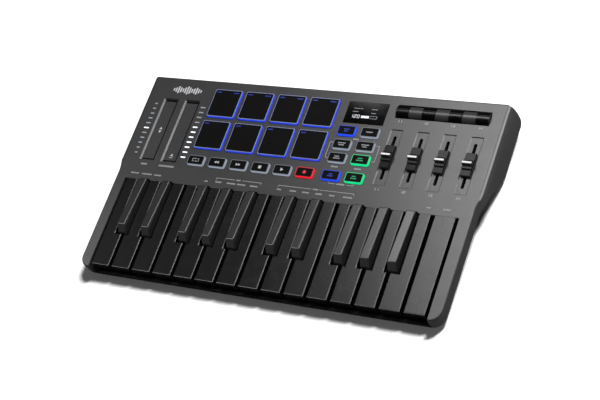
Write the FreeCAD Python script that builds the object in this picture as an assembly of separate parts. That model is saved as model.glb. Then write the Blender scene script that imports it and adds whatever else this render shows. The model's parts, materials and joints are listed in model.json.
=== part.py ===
import FreeCAD, Part
import math
import os

# A 25-key MIDI keyboard controller, C to C, with drum pads, faders and rollers. Millimetres.
#
# Everything is drawn in the panel frame: X to the right from the middle of the case, Y towards
# the back from the front edge of the keys, Z up and square to the control panel, whose surface
# is Z = 0. At the end the model is tipped back onto its feet, with the panel facing the player,
# and its origin is put at the middle of the footprint, on the desk.

# ---------------------------------------------------------------- driving dimensions
TILT_DEG = 7.0                 # slope of the panel when the case stands on its feet
DESK_Z = -17.3                 # desk height, measured from the panel frame's origin

# case
KEY_HALF_WIDTH = 160.65        # half width beside the keys
CONTROL_HALF_WIDTH = 164.0     # half width beside the controls
STEP_Y = (86.0, 106.0)         # where the sides swell from one width to the other
CHEEK_FRONT_Y = -3.0
CHEEK_CORNER_R = 9.5
REAR_TOP_Y = 180.3
REAR_MAX_Y = 184.9
REAR_BULGE = (183.35, -9.0)    # a point (Y, Z) on the upper rear face
REAR_BOTTOM_R = 7.5
REAR_CORNER_R = 4.0
FRONT_BOTTOM_Z = -14.3         # underside below the keys
FRONT_BOTTOM_R = 3.2           # rounding along the lower front edge
REAR_BOTTOM_Z = -31.2          # underside below the controls
SWEEP_START_Y = 99.5           # the underside starts to drop here
SWEEP_R = (20.0, 20.0)
SWEEP_DEG = 36.0
PANEL_T = 3.2
WALL = 2.4
FLOOR_T = 2.0
FLOOR_GAP = 0.2
FRONT_WALL_TOP = -8.5          # low wall in front of the keys
EDGE_R = 1.2                   # rounding of the top edges
SIDE_EDGE_R = 4.2              # larger rounding beside the controls
CHEEK_WALL = 1.6

# keys
KEY_PITCH = 20.0
WHITE_COUNT = 15
KEY_OPENING_HALF = 151.0
LIP_Y = 80.8                   # front edge of the panel, over the keys
KEY_END_Y = 80.2
KEY_UNDERSIDE = -7.0
WHITE_TOP = 0.9
WHITE_HALF_TOP = 8.5
WHITE_HALF_BASE = 9.3
KEY_EDGE_R = 0.9
BLACK_HALF_TOP = 3.65
BLACK_HALF_BASE = 4.15
BLACK_CLEAR_HALF = 6.35        # half width of the notch a black key sits in
BLACK_CLEAR_Y = 29.5
BLACK_FRONT = ((31.0, WHITE_TOP), (35.9, 6.9))    # foot and brow of the sloping front
BLACK_FRONT_DRAFT = 0.4
BLACK_REAR_TOP = 2.95
NOTCH_HALF = 4.8               # recess in the panel's front edge above each black key
NOTCH_DEPTH = 1.2
PIVOT_Y = 90.0
PIVOT_Z = -7.3
PIVOT_R = 1.5
KEY_BOSS_R = 3.0
RUNNING = 0.05                 # radial clearance of a shaft in its bore
KEY_STEM_Z = (-9.5, -4.3)
KEY_STEM_Y = 70.0
# semitone steps that carry a black key, with the sideways offset of its middle
BLACK_OFFSETS = {1: -1.5, 2: 1.5, 4: -2.3, 5: 0.0, 6: 2.6}
WHITES_PER_OCTAVE = 7

# pads and buttons
CLEARANCE = 0.3
CAP_PROUD = 1.8
CAP_EDGE_R = 0.4
FLANGE = 1.0
FLANGE_Z = (-4.7, -4.0)
PLUNGER_Z = -9.4
PAD_SIZE = 26.3
PAD_PITCH = 30.49
PAD_FIRST_X = -83.6
PAD_ROWS_Y = (158.7, 128.2)
PAD_CORNER_R = 1.5
PADS_PER_ROW = 4
BUTTON_SIZE = (15.5, 8.7)
BUTTON_CORNER_R = 1.4
TRANSPORT_FIRST_X = -89.3
TRANSPORT_PITCH = 20.4
TRANSPORT_COUNT = 6
TRANSPORT_Y = 103.4
FUNCTION_X = (35.95, 56.4)
FUNCTION_Y = (144.3, 131.65, 119.45, 103.4)

# touch strips and display: (left, right, front, back)
STRIP_WINDOWS = ((-145.1, -130.4, 99.4, 159.9), (-123.9, -108.6, 99.4, 159.9))
STRIP_BEVEL = 1.3              # sloping walls round each strip
STRIP_FACE_Z = -1.6
STRIP_GAP = 1.1                # open groove round three sides of each strip
STRIP_T = 1.8
STRIP_MARGIN = 1.5
DISPLAY_CORNER_R = 0.5
DISPLAY_WINDOW = (28.9, 64.5, 151.9, 172.0)
DISPLAY_GLASS_Z = -0.1
DISPLAY_T = 2.8
DISPLAY_MARGIN = 1.4

# rollers
CHANNEL_FIRST_X = 77.96
CHANNEL_PITCH = 22.46
CHANNELS = 4
ROLLER_Y = 166.2
ROLLER_Z = -4.1
ROLLER_R = 7.1
ROLLER_HALF = 5.25
ROLLER_RIBS = 26
ROLLER_GROOVE = 0.45
ROLLER_SLOT_R = 7.4
ROLLER_END_GAP = 0.3
LAND_R = 6.4
CRADLE_Z = (-14.4, -12.3)
CRADLE_HALF = 5.0
CRADLE_END = 2.4

# faders
FADER_MID_Y = 124.8
FADER_RECESS = (10.46, 50.15, 0.6)      # width, length, depth; the walls slope at 45 degrees
FADER_RECESS_R = 1.0
FADER_SLOT = (2.7, 39.0)
FADER_BODY = (9.0, 52.0)
FADER_CAP_HALF = 4.0
FADER_CAP_BOTTOM = -0.3
FADER_STEM_HALF = (0.7, 3.5)
FADER_STEM_Z = -7.0
FADER_CHANNEL = (3.4, 42.0, -9.0)       # width, length, floor height

# boards
BOARD_TOP = -10.5
BOARD_T = 1.6
BOARD_HALF = 151.0
BOARD_Y = (98.0, 176.0)
FLOOR_TOP = FRONT_BOTTOM_Z + FLOOR_T
FRAME_TOP = FLOOR_TOP + 1.0
CONTACT_TOP = FRAME_TOP + 1.0
CONTACT_Y = (30.0, 60.0)
RIB_HALF = 0.8
RIB_REACH = 4.0                # half length of a rib, along the case

# rear sockets
SOCKET_Z = -20.0
SOCKET_FACE_Y = 184.4
SUSTAIN = {"x": -130.0, "bore": 3.2, "nose": 5.2, "body": 6.0, "depth": 20.0}
MIDI_OUT = {"x": -108.0, "bore": 1.8, "nose": 3.6, "body": 4.6, "depth": 14.0}
USB = {"x": -88.0, "outer": (9.8, 4.0), "inner": (9.0, 3.2), "depth": 7.0}

# feet and screws
FOOT_R = 6.0
FEET = ((145.0, 12.0, FRONT_BOTTOM_Z), (145.0, 150.0, REAR_BOTTOM_Z))
SCREW_SPOTS = ((155.4, 15.0, FRONT_BOTTOM_Z), (155.4, 75.0, FRONT_BOTTOM_Z),
               (155.4, 150.0, REAR_BOTTOM_Z))
SCREW_R = 1.25
SCREW_LENGTH = 8.0
SCREW_HEAD = (2.7, 1.5)
BOSS_R = 2.6
BOSS_HOLE_R = 1.3

FAR = 60.0                     # reach of a cutting tool past the surface it opens


# ---------------------------------------------------------------- small shape helpers
def vec(x, y, z):
    return FreeCAD.Vector(x, y, z)


def block(x, y, z):
    """A box from three (low, high) pairs."""
    return Part.makeBox(x[1] - x[0], y[1] - y[0], z[1] - z[0], vec(x[0], y[0], z[0]))


def around(middle, half):
    return (middle - half, middle + half)


def rod_x(x, y, z, radius):
    """A cylinder along X between the two values of x."""
    return Part.makeCylinder(radius, x[1] - x[0], vec(x[0], y, z), vec(1, 0, 0))


def rod_y(x, y, z, radius):
    return Part.makeCylinder(radius, y[1] - y[0], vec(x, y[0], z), vec(0, 1, 0))


def rod_z(x, y, z, radius):
    return Part.makeCylinder(radius, z[1] - z[0], vec(x, y, z[0]))


def rounded_block(middle, size, z, radius):
    """An upright prism on a rectangle with rounded corners."""
    x = around(middle[0], size[0] / 2)
    y = around(middle[1], size[1] / 2)
    solid = block(x, y, z)
    upright = [e for e in solid.Edges if abs(e.tangentAt(e.FirstParameter).z) > 0.9]
    return solid.makeFillet(radius, upright)


def profile_x(edges, x):
    """A closed outline of edges in the YZ plane, drawn out along X."""
    face = Part.Face(Part.Wire(edges))
    face.translate(vec(x[0], 0, 0))
    return face.extrude(vec(x[1] - x[0], 0, 0))


def polyline(points):
    return [Part.makeLine(a, b) for a, b in zip(points, points[1:])]


def polygon_x(points, x):
    """A polygon of (y, z) points drawn out along X."""
    corners = [vec(0, y, z) for y, z in points]
    return profile_x(polyline(corners + corners[:1]), x)


def arc(a, b, c):
    return Part.Arc(a, b, c).toShape()


def arc_points(middle, radius, start_deg, end_deg):
    """Start, middle and end of an arc in the YZ plane."""
    angles = (start_deg, (start_deg + end_deg) / 2, end_deg)
    return [vec(0, middle[0] + radius * math.cos(math.radians(a)),
                middle[1] + radius * math.sin(math.radians(a))) for a in angles]


def fuse_all(solids):
    whole = solids[0].multiFuse(solids[1:])
    return whole.removeSplitter()


def edges_at_height(solid, z):
    return [e for e in solid.Edges if abs(e.BoundBox.ZMin - z) < 1e-4 and abs(e.BoundBox.ZMax - z) < 1e-4]


# ---------------------------------------------------------------- case outlines
def swell_points(side, x_near, x_far):
    """The gentle S between the two case widths: two equal arcs, as two 3-point arcs in plan."""
    y0, y1 = STEP_Y
    dx = x_far - x_near
    dy = y1 - y0
    radius = (dx * dx + dy * dy) / (4 * dx)
    half_turn = math.asin(dy / 2 / radius) / 2
    rise = radius * (1 - math.cos(half_turn))
    run = radius * math.sin(half_turn)
    middle = vec(side * (x_near + dx / 2), (y0 + y1) / 2, 0)
    near = (vec(side * x_near, y0, 0), vec(side * (x_near + rise), y0 + run, 0), middle)
    far = (middle, vec(side * (x_far - rise), y1 - run, 0), vec(side * x_far, y1, 0))
    return near, far


def front_corner(x, y, radius, side):
    """The plan corner of a cheek at (side * x, y), from the front edge to the side edge."""
    knee = radius * (1 - math.sqrt(0.5))
    cross = vec(side * (x - radius), y, 0)
    mid = vec(side * (x - knee), y + knee, 0)
    flank = vec(side * x, y + radius, 0)
    return cross, mid, flank


def case_outline(inset):
    """The plan outline of the case, moved inwards by the inset; it runs on past the rear face."""
    front_y = CHEEK_FRONT_Y + inset
    rear_y = REAR_MAX_Y + 1
    near_x = KEY_HALF_WIDTH - inset
    far_x = CONTROL_HALF_WIDTH - inset
    edges = []
    ends = {}
    for side in (-1, 1):
        front = front_corner(near_x, front_y, CHEEK_CORNER_R - inset, side)
        rear = vec(side * far_x, rear_y, 0)
        near, far = swell_points(side, near_x, far_x)
        edges += [arc(*front), Part.makeLine(front[2], near[0]), arc(*near), arc(*far),
                  Part.makeLine(far[2], rear)]
        ends[side] = (front[0], rear)
    edges += [Part.makeLine(ends[-1][0], ends[1][0]), Part.makeLine(ends[-1][1], ends[1][1])]
    wire = Part.Wire(Part.__sortEdges__(edges))
    return Part.Face(wire)


def plan_prism(inset):
    face = case_outline(inset)
    face.translate(vec(0, 0, -FAR))
    return face.extrude(vec(0, 0, 2 * FAR))


def sweep_edges(lift):
    """The S-shaped step of the underside, raised by lift, as edges from front to back."""
    r_first = SWEEP_R[0] + lift
    r_last = SWEEP_R[1] - lift
    front = (SWEEP_START_Y, FRONT_BOTTOM_Z - SWEEP_R[0])
    first = arc_points(front, r_first, 90, 90 - SWEEP_DEG)
    turn = math.radians(SWEEP_DEG)
    fall = FRONT_BOTTOM_Z - REAR_BOTTOM_Z - sum(SWEEP_R) * (1 - math.cos(turn))
    y_end = SWEEP_START_Y + sum(SWEEP_R) * math.sin(turn) + fall / math.tan(turn)
    back = (y_end, REAR_BOTTOM_Z + SWEEP_R[1])
    last = arc_points(back, r_last, 270 - SWEEP_DEG, 270)
    return [arc(*first), Part.makeLine(first[2], last[0]), arc(*last)], first[0], last[2]


def rear_edges(inset):
    """The rear face from the panel down to the underside, moved inwards by the inset."""
    top = vec(0, REAR_TOP_Y - inset, 0)
    bulge = vec(0, REAR_BULGE[0] - inset, REAR_BULGE[1])
    middle = (REAR_MAX_Y - REAR_BOTTOM_R, REAR_BOTTOM_Z + REAR_BOTTOM_R)
    turn = arc_points(middle, REAR_BOTTOM_R - inset, 0, -90)
    return [arc(top, bulge, turn[0]), arc(*turn)], top, turn[2]


def case_side_profile():
    """The outside of the case seen from the side."""
    half = CONTROL_HALF_WIDTH + 1
    rear, top, heel = rear_edges(0)
    sweep, sweep_front, sweep_back = sweep_edges(0)
    front_top = vec(0, CHEEK_FRONT_Y - 1, 0)
    front_bottom = vec(0, CHEEK_FRONT_Y - 1, FRONT_BOTTOM_Z)
    outline = rear + sweep + polyline([top, front_top, front_bottom, sweep_front])
    outline += [Part.makeLine(sweep_back, heel)]
    return profile_x(Part.__sortEdges__(outline), (-half, half))


def cavity_side_profile():
    """The hollow of the top shell seen from the side, open below."""
    half = CONTROL_HALF_WIDTH + 1
    rear, top, heel = rear_edges(WALL)
    ceiling = polygon_x([(-FAR, -PANEL_T), (FAR * 4, -PANEL_T), (FAR * 4, FAR), (-FAR, FAR)], (-half, half))
    low = vec(0, heel.y, -FAR)
    front_low = vec(0, CHEEK_FRONT_Y - 1, -FAR)
    front_top = vec(0, CHEEK_FRONT_Y - 1, 0)
    outline = rear + polyline([heel, low, front_low, front_top, top])
    return profile_x(Part.__sortEdges__(outline), (-half, half)).cut(ceiling)


def side_rounding(side):
    """What is cut from the long top edge beside the controls to round it more fully.

    It starts clear of the edge where the case swells, and comes down onto it by the end of the swell."""
    def section(y, x_outer, radius, clear):
        knee = radius * (1 - math.sqrt(0.5))
        beyond = 2.0
        x_out = x_outer + clear
        inner = vec(side * (x_out - radius), y, clear)
        outer = vec(side * x_out, y, clear - radius)
        round_edge = arc(inner, vec(side * (x_out - knee), y, clear - knee), outer)
        path = [outer, vec(side * (x_out + beyond), y, clear - radius),
                vec(side * (x_out + beyond), y, beyond), vec(side * (x_out - radius), y, beyond), inner]
        return Part.Wire([round_edge] + polyline(path))

    y0, y1 = STEP_Y
    steps = 8
    sections = []
    for i in range(steps + 1):
        t = i / steps
        ease = t * t * (3 - 2 * t)
        x_outer = KEY_HALF_WIDTH + ease * (CONTROL_HALF_WIDTH - KEY_HALF_WIDTH)
        radius = EDGE_R + ease * (SIDE_EDGE_R - EDGE_R)
        sections.append(section(y0 + t * (y1 - y0), x_outer, radius, EDGE_R * (1 - ease)))
    swell = Part.makeLoft(sections, True, True)
    straight = Part.Face(section(y1, CONTROL_HALF_WIDTH, SIDE_EDGE_R, 0))
    return [swell, straight.extrude(vec(0, REAR_MAX_Y + 1 - y1, 0))]


# ---------------------------------------------------------------- key positions
def white_middle(index):
    return (index - WHITE_COUNT / 2 + 0.5) * KEY_PITCH


def black_middles():
    """X of the middle of each black key, by the number of white keys to its left."""
    places = {}
    for boundary in range(1, WHITE_COUNT):
        step = boundary % WHITES_PER_OCTAVE
        if step in BLACK_OFFSETS:
            places[boundary] = (boundary - WHITE_COUNT / 2) * KEY_PITCH + BLACK_OFFSETS[step]
    return places


def rib_places():
    """Gaps between white keys with no black key over them, where the pivot rod is held."""
    blacks = black_middles()
    return [(b - WHITE_COUNT / 2) * KEY_PITCH for b in range(WHITE_COUNT + 1) if b not in blacks]


def channel_x(index):
    return CHANNEL_FIRST_X + index * CHANNEL_PITCH


# ---------------------------------------------------------------- case parts
def window(bounds, z, margin, radius):
    left, right, front, back = bounds
    middle = ((left + right) / 2, (front + back) / 2)
    return rounded_block(middle, (right - left + 2 * margin, back - front + 2 * margin), z, radius)


def cap_places():
    """Every pad and button: name, middle, size, corner radius."""
    places = []
    for row, y in enumerate(PAD_ROWS_Y):
        for col in range(PADS_PER_ROW):
            name = f"pad_{row * PADS_PER_ROW + col + 1}"
            places.append((name, (PAD_FIRST_X + col * PAD_PITCH, y), (PAD_SIZE, PAD_SIZE), PAD_CORNER_R))
    for i in range(TRANSPORT_COUNT):
        middle = (TRANSPORT_FIRST_X + i * TRANSPORT_PITCH, TRANSPORT_Y)
        places.append((f"transport_button_{i + 1}", middle, BUTTON_SIZE, BUTTON_CORNER_R))
    for y in FUNCTION_Y:
        for x in FUNCTION_X:
            places.append(("function_buttons", (x, y), BUTTON_SIZE, BUTTON_CORNER_R))
    return places


def panel_cutouts():
    """Everything that is cut from the control panel."""
    through = (-PANEL_T - 1, 1)
    cuts = []
    for left, right, front, back in STRIP_WINDOWS:
        opening = block((left, right), (front, back), (-STRIP_BEVEL, STRIP_BEVEL))
        cuts.append(opening.makeChamfer(STRIP_BEVEL, edges_at_height(opening, -STRIP_BEVEL)))
        cuts.append(window((left, right, front, back), through, RUNNING - STRIP_BEVEL, RUNNING))
    cuts.append(window(DISPLAY_WINDOW, through, RUNNING, DISPLAY_CORNER_R))
    for _, middle, size, radius in cap_places():
        hole = (size[0] + 2 * CLEARANCE, size[1] + 2 * CLEARANCE)
        cuts.append(rounded_block(middle, hole, through, radius + CLEARANCE))
    slot = (channel_x(0) - ROLLER_HALF - ROLLER_END_GAP,
            channel_x(CHANNELS - 1) + ROLLER_HALF + ROLLER_END_GAP)
    cuts.append(rod_x(slot, ROLLER_Y, ROLLER_Z, ROLLER_SLOT_R))
    width, length, depth = FADER_RECESS
    for i in range(CHANNELS):
        middle = (channel_x(i), FADER_MID_Y)
        recess = rounded_block(middle, (width, length), (-depth, 1), FADER_RECESS_R)
        cuts.append(recess.makeChamfer(depth, edges_at_height(recess, -depth)))
        cuts.append(rounded_block(middle, FADER_SLOT, through, FADER_SLOT[0] / 2 - 0.1))
    for x in black_middles().values():
        middle = (x, LIP_Y)
        cuts.append(rounded_block(middle, (2 * NOTCH_HALF, 2 * NOTCH_DEPTH), through, NOTCH_DEPTH / 2))
    return cuts


def socket_holes(clearance):
    wall = (SOCKET_FACE_Y - 2 * WALL - 2, SOCKET_FACE_Y + 2)
    holes = [rod_y(s["x"], wall, SOCKET_Z, s["nose"] + clearance) for s in (SUSTAIN, MIDI_OUT)]
    wide, high = USB["outer"]
    usb_x = around(USB["x"], wide / 2 + clearance)
    holes.append(block(usb_x, wall, around(SOCKET_Z, high / 2 + clearance)))
    return holes


def screw_bosses():
    bosses = []
    for x, y, bottom in SCREW_SPOTS:
        z = (bottom + FLOOR_T, -PANEL_T + 0.5)
        for side in (-1, 1):
            post = rod_z(side * x, y, z, BOSS_R)
            bosses.append(post.cut(rod_z(side * x, y, (z[0] - 1, z[0] + SCREW_LENGTH), BOSS_HOLE_R)))
    return bosses


def cheek_walls():
    """The thin walls between the end keys and the hollow cheeks."""
    y = (CHEEK_FRONT_Y + WALL / 2, LIP_Y + 2)
    z = (FLOOR_TOP, -PANEL_T + 0.5)
    inner = KEY_OPENING_HALF
    return [block((-inner - CHEEK_WALL, -inner), y, z), block((inner, inner + CHEEK_WALL), y, z)]


def key_opening():
    return block(around(0, KEY_OPENING_HALF), (-FAR, LIP_Y), (-FAR, 1))


def rear_corner_edges(body):
    """The edges between the curved rear face and the two sides."""
    flanks = [e for e in body.Edges if abs(abs(e.BoundBox.Center.x) - CONTROL_HALF_WIDTH) < 1e-3]
    return [e for e in flanks if e.BoundBox.YMin > REAR_MAX_Y - REAR_BOTTOM_R - 1e-3]


def make_top_shell():
    body = plan_prism(0).common(case_side_profile())
    body = body.makeFillet(REAR_CORNER_R, rear_corner_edges(body))
    body = body.makeFillet(EDGE_R, edges_at_height(body, 0))
    for side in (-1, 1):
        for tool in side_rounding(side):
            body = body.cut(tool)
    hollow = plan_prism(WALL).common(cavity_side_profile())
    lower_front = front_underside(around(0, CONTROL_HALF_WIDTH))
    shell = body.cut(hollow).cut([key_opening(), lower_front])
    shell = fuse_all([shell] + cheek_walls() + screw_bosses())
    return shell.cut(panel_cutouts() + socket_holes(0.1))


def front_underside(x):
    """What the rounding along the lower front edge takes away, over the span x."""
    y, z = CHEEK_FRONT_Y + FRONT_BOTTOM_R, FRONT_BOTTOM_Z + FRONT_BOTTOM_R
    corner = block(x, (CHEEK_FRONT_Y - 1, y), (FRONT_BOTTOM_Z - 1, z))
    return corner.cut(rod_x(x, y, z, FRONT_BOTTOM_R))


def make_bottom_shell():
    """The floor, thin under the keys and deep behind, with the low wall in front of the keys."""
    half = CONTROL_HALF_WIDTH + 1
    _, _, heel = rear_edges(WALL + FLOOR_GAP)
    low, low_front, low_back = sweep_edges(0)
    high, high_front, high_back = sweep_edges(FLOOR_T)
    front = CHEEK_FRONT_Y - 1
    outline = low + high
    outline += [Part.makeLine(vec(0, front, FRONT_BOTTOM_Z), low_front),
                Part.makeLine(vec(0, front, FLOOR_TOP), high_front),
                Part.makeLine(vec(0, front, FRONT_BOTTOM_Z), vec(0, front, FLOOR_TOP)),
                Part.makeLine(low_back, vec(0, heel.y, REAR_BOTTOM_Z)),
                Part.makeLine(high_back, vec(0, heel.y, REAR_BOTTOM_Z + FLOOR_T)),
                Part.makeLine(vec(0, heel.y, REAR_BOTTOM_Z), vec(0, heel.y, REAR_BOTTOM_Z + FLOOR_T))]
    slab = profile_x(Part.__sortEdges__(outline), (-half, half))
    floor = slab.common(plan_prism(WALL + FLOOR_GAP))
    x = around(0, KEY_OPENING_HALF - FLOOR_GAP)
    tongue = block(x, (CHEEK_FRONT_Y, 2), (FRONT_BOTTOM_Z, FLOOR_TOP))
    front_wall = block(x, (CHEEK_FRONT_Y, CHEEK_FRONT_Y + FLOOR_T), (FRONT_BOTTOM_Z, FRONT_WALL_TOP))
    floor = fuse_all([floor, tongue, front_wall])
    holes = [front_underside(x)]
    for x_spot, y, bottom in SCREW_SPOTS:
        for side in (-1, 1):
            head_z = (bottom - 1, bottom + SCREW_HEAD[1] + 0.1)
            holes.append(rod_z(side * x_spot, y, head_z, SCREW_HEAD[0] + 0.2))
            holes.append(rod_z(side * x_spot, y, (bottom - 1, bottom + FLOOR_T + 1), SCREW_R + 0.1))
    return floor.cut(holes)


# ---------------------------------------------------------------- keys
def key_hinge(x, y_from):
    """The rear arm of a key, with the bore that turns on the pivot rod."""
    arm = block(x, (y_from, PIVOT_Y), KEY_STEM_Z)
    boss = rod_x(x, PIVOT_Y, PIVOT_Z, KEY_BOSS_R)
    return [arm, boss], rod_x((x[0] - 1, x[1] + 1), PIVOT_Y, PIVOT_Z, PIVOT_R + RUNNING)


def rear_span(index):
    """Left and right side of a white key's rear part, between its black neighbours."""
    blacks = black_middles()
    middle = white_middle(index)
    left = blacks[index] + BLACK_CLEAR_HALF if index in blacks else middle - WHITE_HALF_TOP
    right = blacks[index + 1] - BLACK_CLEAR_HALF if index + 1 in blacks else middle + WHITE_HALF_TOP
    return left, right


def round_key_top(solid, lowest):
    """Soften the edges of a key's playing surface: all sharp edges that lie above lowest."""
    edges = [e for e in solid.Edges if e.BoundBox.ZMin > lowest and e.BoundBox.YMin < KEY_END_Y - 0.1]
    return solid.makeFillet(KEY_EDGE_R, edges)


def tapered_bar(middle, half_base, half_top, top, length):
    """A bar from the front edge of the keys towards the back, narrower at the top than at its base."""
    section = [vec(middle - half_base, 0, KEY_UNDERSIDE), vec(middle + half_base, 0, KEY_UNDERSIDE),
               vec(middle + half_top, 0, top), vec(middle - half_top, 0, top)]
    return Part.Face(Part.Wire(polyline(section + section[:1]))).extrude(vec(0, length, 0))


def make_white_key(index):
    key = tapered_bar(white_middle(index), WHITE_HALF_BASE, WHITE_HALF_TOP, WHITE_TOP, KEY_END_Y)
    blacks = black_middles()
    z = (KEY_UNDERSIDE - 1, WHITE_TOP + 1)
    for boundary in (index, index + 1):
        if boundary in blacks:
            clear = around(blacks[boundary], BLACK_CLEAR_HALF)
            key = key.cut(block(clear, (BLACK_CLEAR_Y, LIP_Y), z))
    key = round_key_top(key, WHITE_TOP - 0.01)
    hinge, bore = key_hinge(rear_span(index), KEY_STEM_Y)
    return fuse_all([key] + hinge).cut(bore)


def make_black_key(middle):
    foot, brow = BLACK_FRONT
    side = [(foot[0] - BLACK_FRONT_DRAFT, KEY_UNDERSIDE), foot, brow,
            (KEY_END_Y, BLACK_REAR_TOP), (KEY_END_Y, KEY_UNDERSIDE)]
    x = around(middle, BLACK_HALF_BASE)
    bar = tapered_bar(middle, BLACK_HALF_BASE, BLACK_HALF_TOP, brow[1], KEY_END_Y)
    key = polygon_x(side, x).common(bar)
    key = round_key_top(key, WHITE_TOP - 0.01)
    hinge, bore = key_hinge(x, KEY_STEM_Y)
    return fuse_all([key] + hinge).cut(bore)


# ---------------------------------------------------------------- pads, buttons, faders, rollers
def make_cap(middle, size, radius):
    """A translucent cap with a flange that keeps it under the panel and a plunger for its switch."""
    cap = rounded_block(middle, size, (FLANGE_Z[0], CAP_PROUD), radius)
    cap = cap.makeFillet(CAP_EDGE_R, edges_at_height(cap, CAP_PROUD))
    flange = rounded_block(middle, (size[0] + 2 * FLANGE, size[1] + 2 * FLANGE), FLANGE_Z, radius)
    x = around(middle[0], size[0] / 4)
    y = around(middle[1], size[1] / 4)
    plunger = block(x, y, (PLUNGER_Z, FLANGE_Z[1]))
    return fuse_all([cap, flange, plunger])


def make_roller(x):
    """A thumb roller with ribs along its axis."""
    teeth = []
    groove_r = ROLLER_R - ROLLER_GROOVE
    pitch = 2 * math.pi / ROLLER_RIBS
    for i in range(ROLLER_RIBS):
        for share, radius in ((-0.28, ROLLER_R), (0.28, ROLLER_R), (0.4, groove_r), (0.6, groove_r)):
            angle = (i + share) * pitch
            teeth.append((ROLLER_Y + radius * math.cos(angle), ROLLER_Z + radius * math.sin(angle)))
    wheel = polygon_x(teeth, around(x, ROLLER_HALF))
    return wheel.cut(rod_x(around(x, ROLLER_HALF + 1), ROLLER_Y, ROLLER_Z, PIVOT_R + RUNNING))


def make_fader_cap(x):
    """The sliding cap: low shoulders, a stepped grip and a tall ridge, on a flat stem."""
    shoulder, step, ridge = 2.2, 3.3, 5.6
    base = FADER_CAP_BOTTOM
    side = [(-10.0, base), (-10.0, 1.7), (-9.5, shoulder), (-5.4, shoulder + 0.2), (-5.1, 1.5),
            (-4.4, 1.5), (-4.1, step), (-2.6, step), (-2.3, 2.6), (-1.9, 2.6),
            (-1.2, ridge - 0.3), (-0.8, ridge), (0.8, ridge), (1.3, ridge - 0.4),
            (3.4, shoulder + 0.2), (9.5, shoulder), (10.0, 1.7), (10.0, base)]
    cap = polygon_x([(FADER_MID_Y + y, z) for y, z in side], around(x, FADER_CAP_HALF))
    half_x, half_y = FADER_STEM_HALF
    stem = block(around(x, half_x), around(FADER_MID_Y, half_y), (FADER_STEM_Z, base + 0.5))
    return fuse_all([cap, stem])


def make_fader_bodies():
    """The slide potentiometers, each with a groove that its stem runs in."""
    bodies = []
    wide, long, floor = FADER_CHANNEL
    for i in range(CHANNELS):
        x = channel_x(i)
        length = around(FADER_MID_Y, FADER_BODY[1] / 2)
        body = block(around(x, FADER_BODY[0] / 2), length, (BOARD_TOP, -PANEL_T))
        groove = block(around(x, wide / 2), around(FADER_MID_Y, long / 2), (floor, 0))
        bodies.append(body.cut(groove))
    return Part.makeCompound(bodies)


def make_roller_mount():
    """The cradle under the rollers: axle, the fixed lands between the rollers, and end plates."""
    left = channel_x(0) - ROLLER_HALF - ROLLER_END_GAP
    right = channel_x(CHANNELS - 1) + ROLLER_HALF + ROLLER_END_GAP
    y = around(ROLLER_Y, CRADLE_HALF)
    bar = block((left - CRADLE_END, right + CRADLE_END), y, CRADLE_Z)
    axle = rod_x((left, right), ROLLER_Y, ROLLER_Z, PIVOT_R)
    solids = [bar, axle]
    for end in ((left - CRADLE_END, left), (right, right + CRADLE_END)):
        solids.append(block(end, y, (CRADLE_Z[0], -PANEL_T)))
    for i in range(CHANNELS - 1):
        gap = ROLLER_HALF + ROLLER_END_GAP
        x = (channel_x(i) + gap, channel_x(i + 1) - gap)
        solids.append(rod_x(x, ROLLER_Y, ROLLER_Z, LAND_R))
        solids.append(block(x, around(ROLLER_Y, CRADLE_HALF - 1), (CRADLE_Z[0], ROLLER_Z)))
    return fuse_all(solids)


# ---------------------------------------------------------------- inside
def make_key_frame():
    """A plate on the floor with the ribs that hold the pivot rod."""
    plate_half = KEY_OPENING_HALF - 0.5
    y = (2.0, PIVOT_Y + RIB_REACH)
    solids = [block(around(0, plate_half), y, (FLOOR_TOP, FRAME_TOP))]
    for x in rib_places():
        rib_x = around(x, RIB_HALF)
        rib = block(rib_x, around(PIVOT_Y, RIB_REACH), (FLOOR_TOP, PIVOT_Z))
        solids += [rib, rod_x(rib_x, PIVOT_Y, PIVOT_Z, KEY_BOSS_R)]
    frame = fuse_all(solids)
    return frame.cut(rod_x(around(0, plate_half + 5), PIVOT_Y, PIVOT_Z, PIVOT_R))


def make_pivot_rod():
    return rod_x(around(0, KEY_OPENING_HALF - 0.5), PIVOT_Y, PIVOT_Z, PIVOT_R)


def make_circuit_boards():
    """The main board under the panel, open round the rollers, and the key contact board."""
    main = block(around(0, BOARD_HALF), BOARD_Y, (BOARD_TOP - BOARD_T, BOARD_TOP))
    left = channel_x(0) - ROLLER_HALF - CRADLE_END - 1
    bay = block((left, BOARD_HALF + 1), around(ROLLER_Y, ROLLER_R + 1), (BOARD_TOP - BOARD_T - 1, 0))
    contacts = block(around(0, KEY_OPENING_HALF - 3), CONTACT_Y, (FRAME_TOP, CONTACT_TOP))
    return Part.makeCompound([main.cut(bay), contacts])


def make_display():
    """The display glass, which fills its window, on a wider back plate."""
    glass = window(DISPLAY_WINDOW, (-PANEL_T - 1, DISPLAY_GLASS_Z), 0, DISPLAY_CORNER_R)
    back = window(DISPLAY_WINDOW, (-PANEL_T - DISPLAY_T, -PANEL_T), DISPLAY_MARGIN, DISPLAY_CORNER_R)
    return fuse_all([glass, back])


def make_touch_strips():
    """Two flat strips, each against the left wall of its opening, on a wider back plate."""
    strips = []
    z = (-PANEL_T - 1, STRIP_FACE_Z)
    for bounds in STRIP_WINDOWS:
        left, right, front, back = bounds
        face = window((left, right - STRIP_GAP, front + STRIP_GAP, back - STRIP_GAP), z, -STRIP_BEVEL, RUNNING)
        back = window(bounds, (-PANEL_T - STRIP_T, -PANEL_T), STRIP_MARGIN, STRIP_MARGIN)
        strips.append(fuse_all([face, back]))
    return Part.makeCompound(strips)


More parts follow.
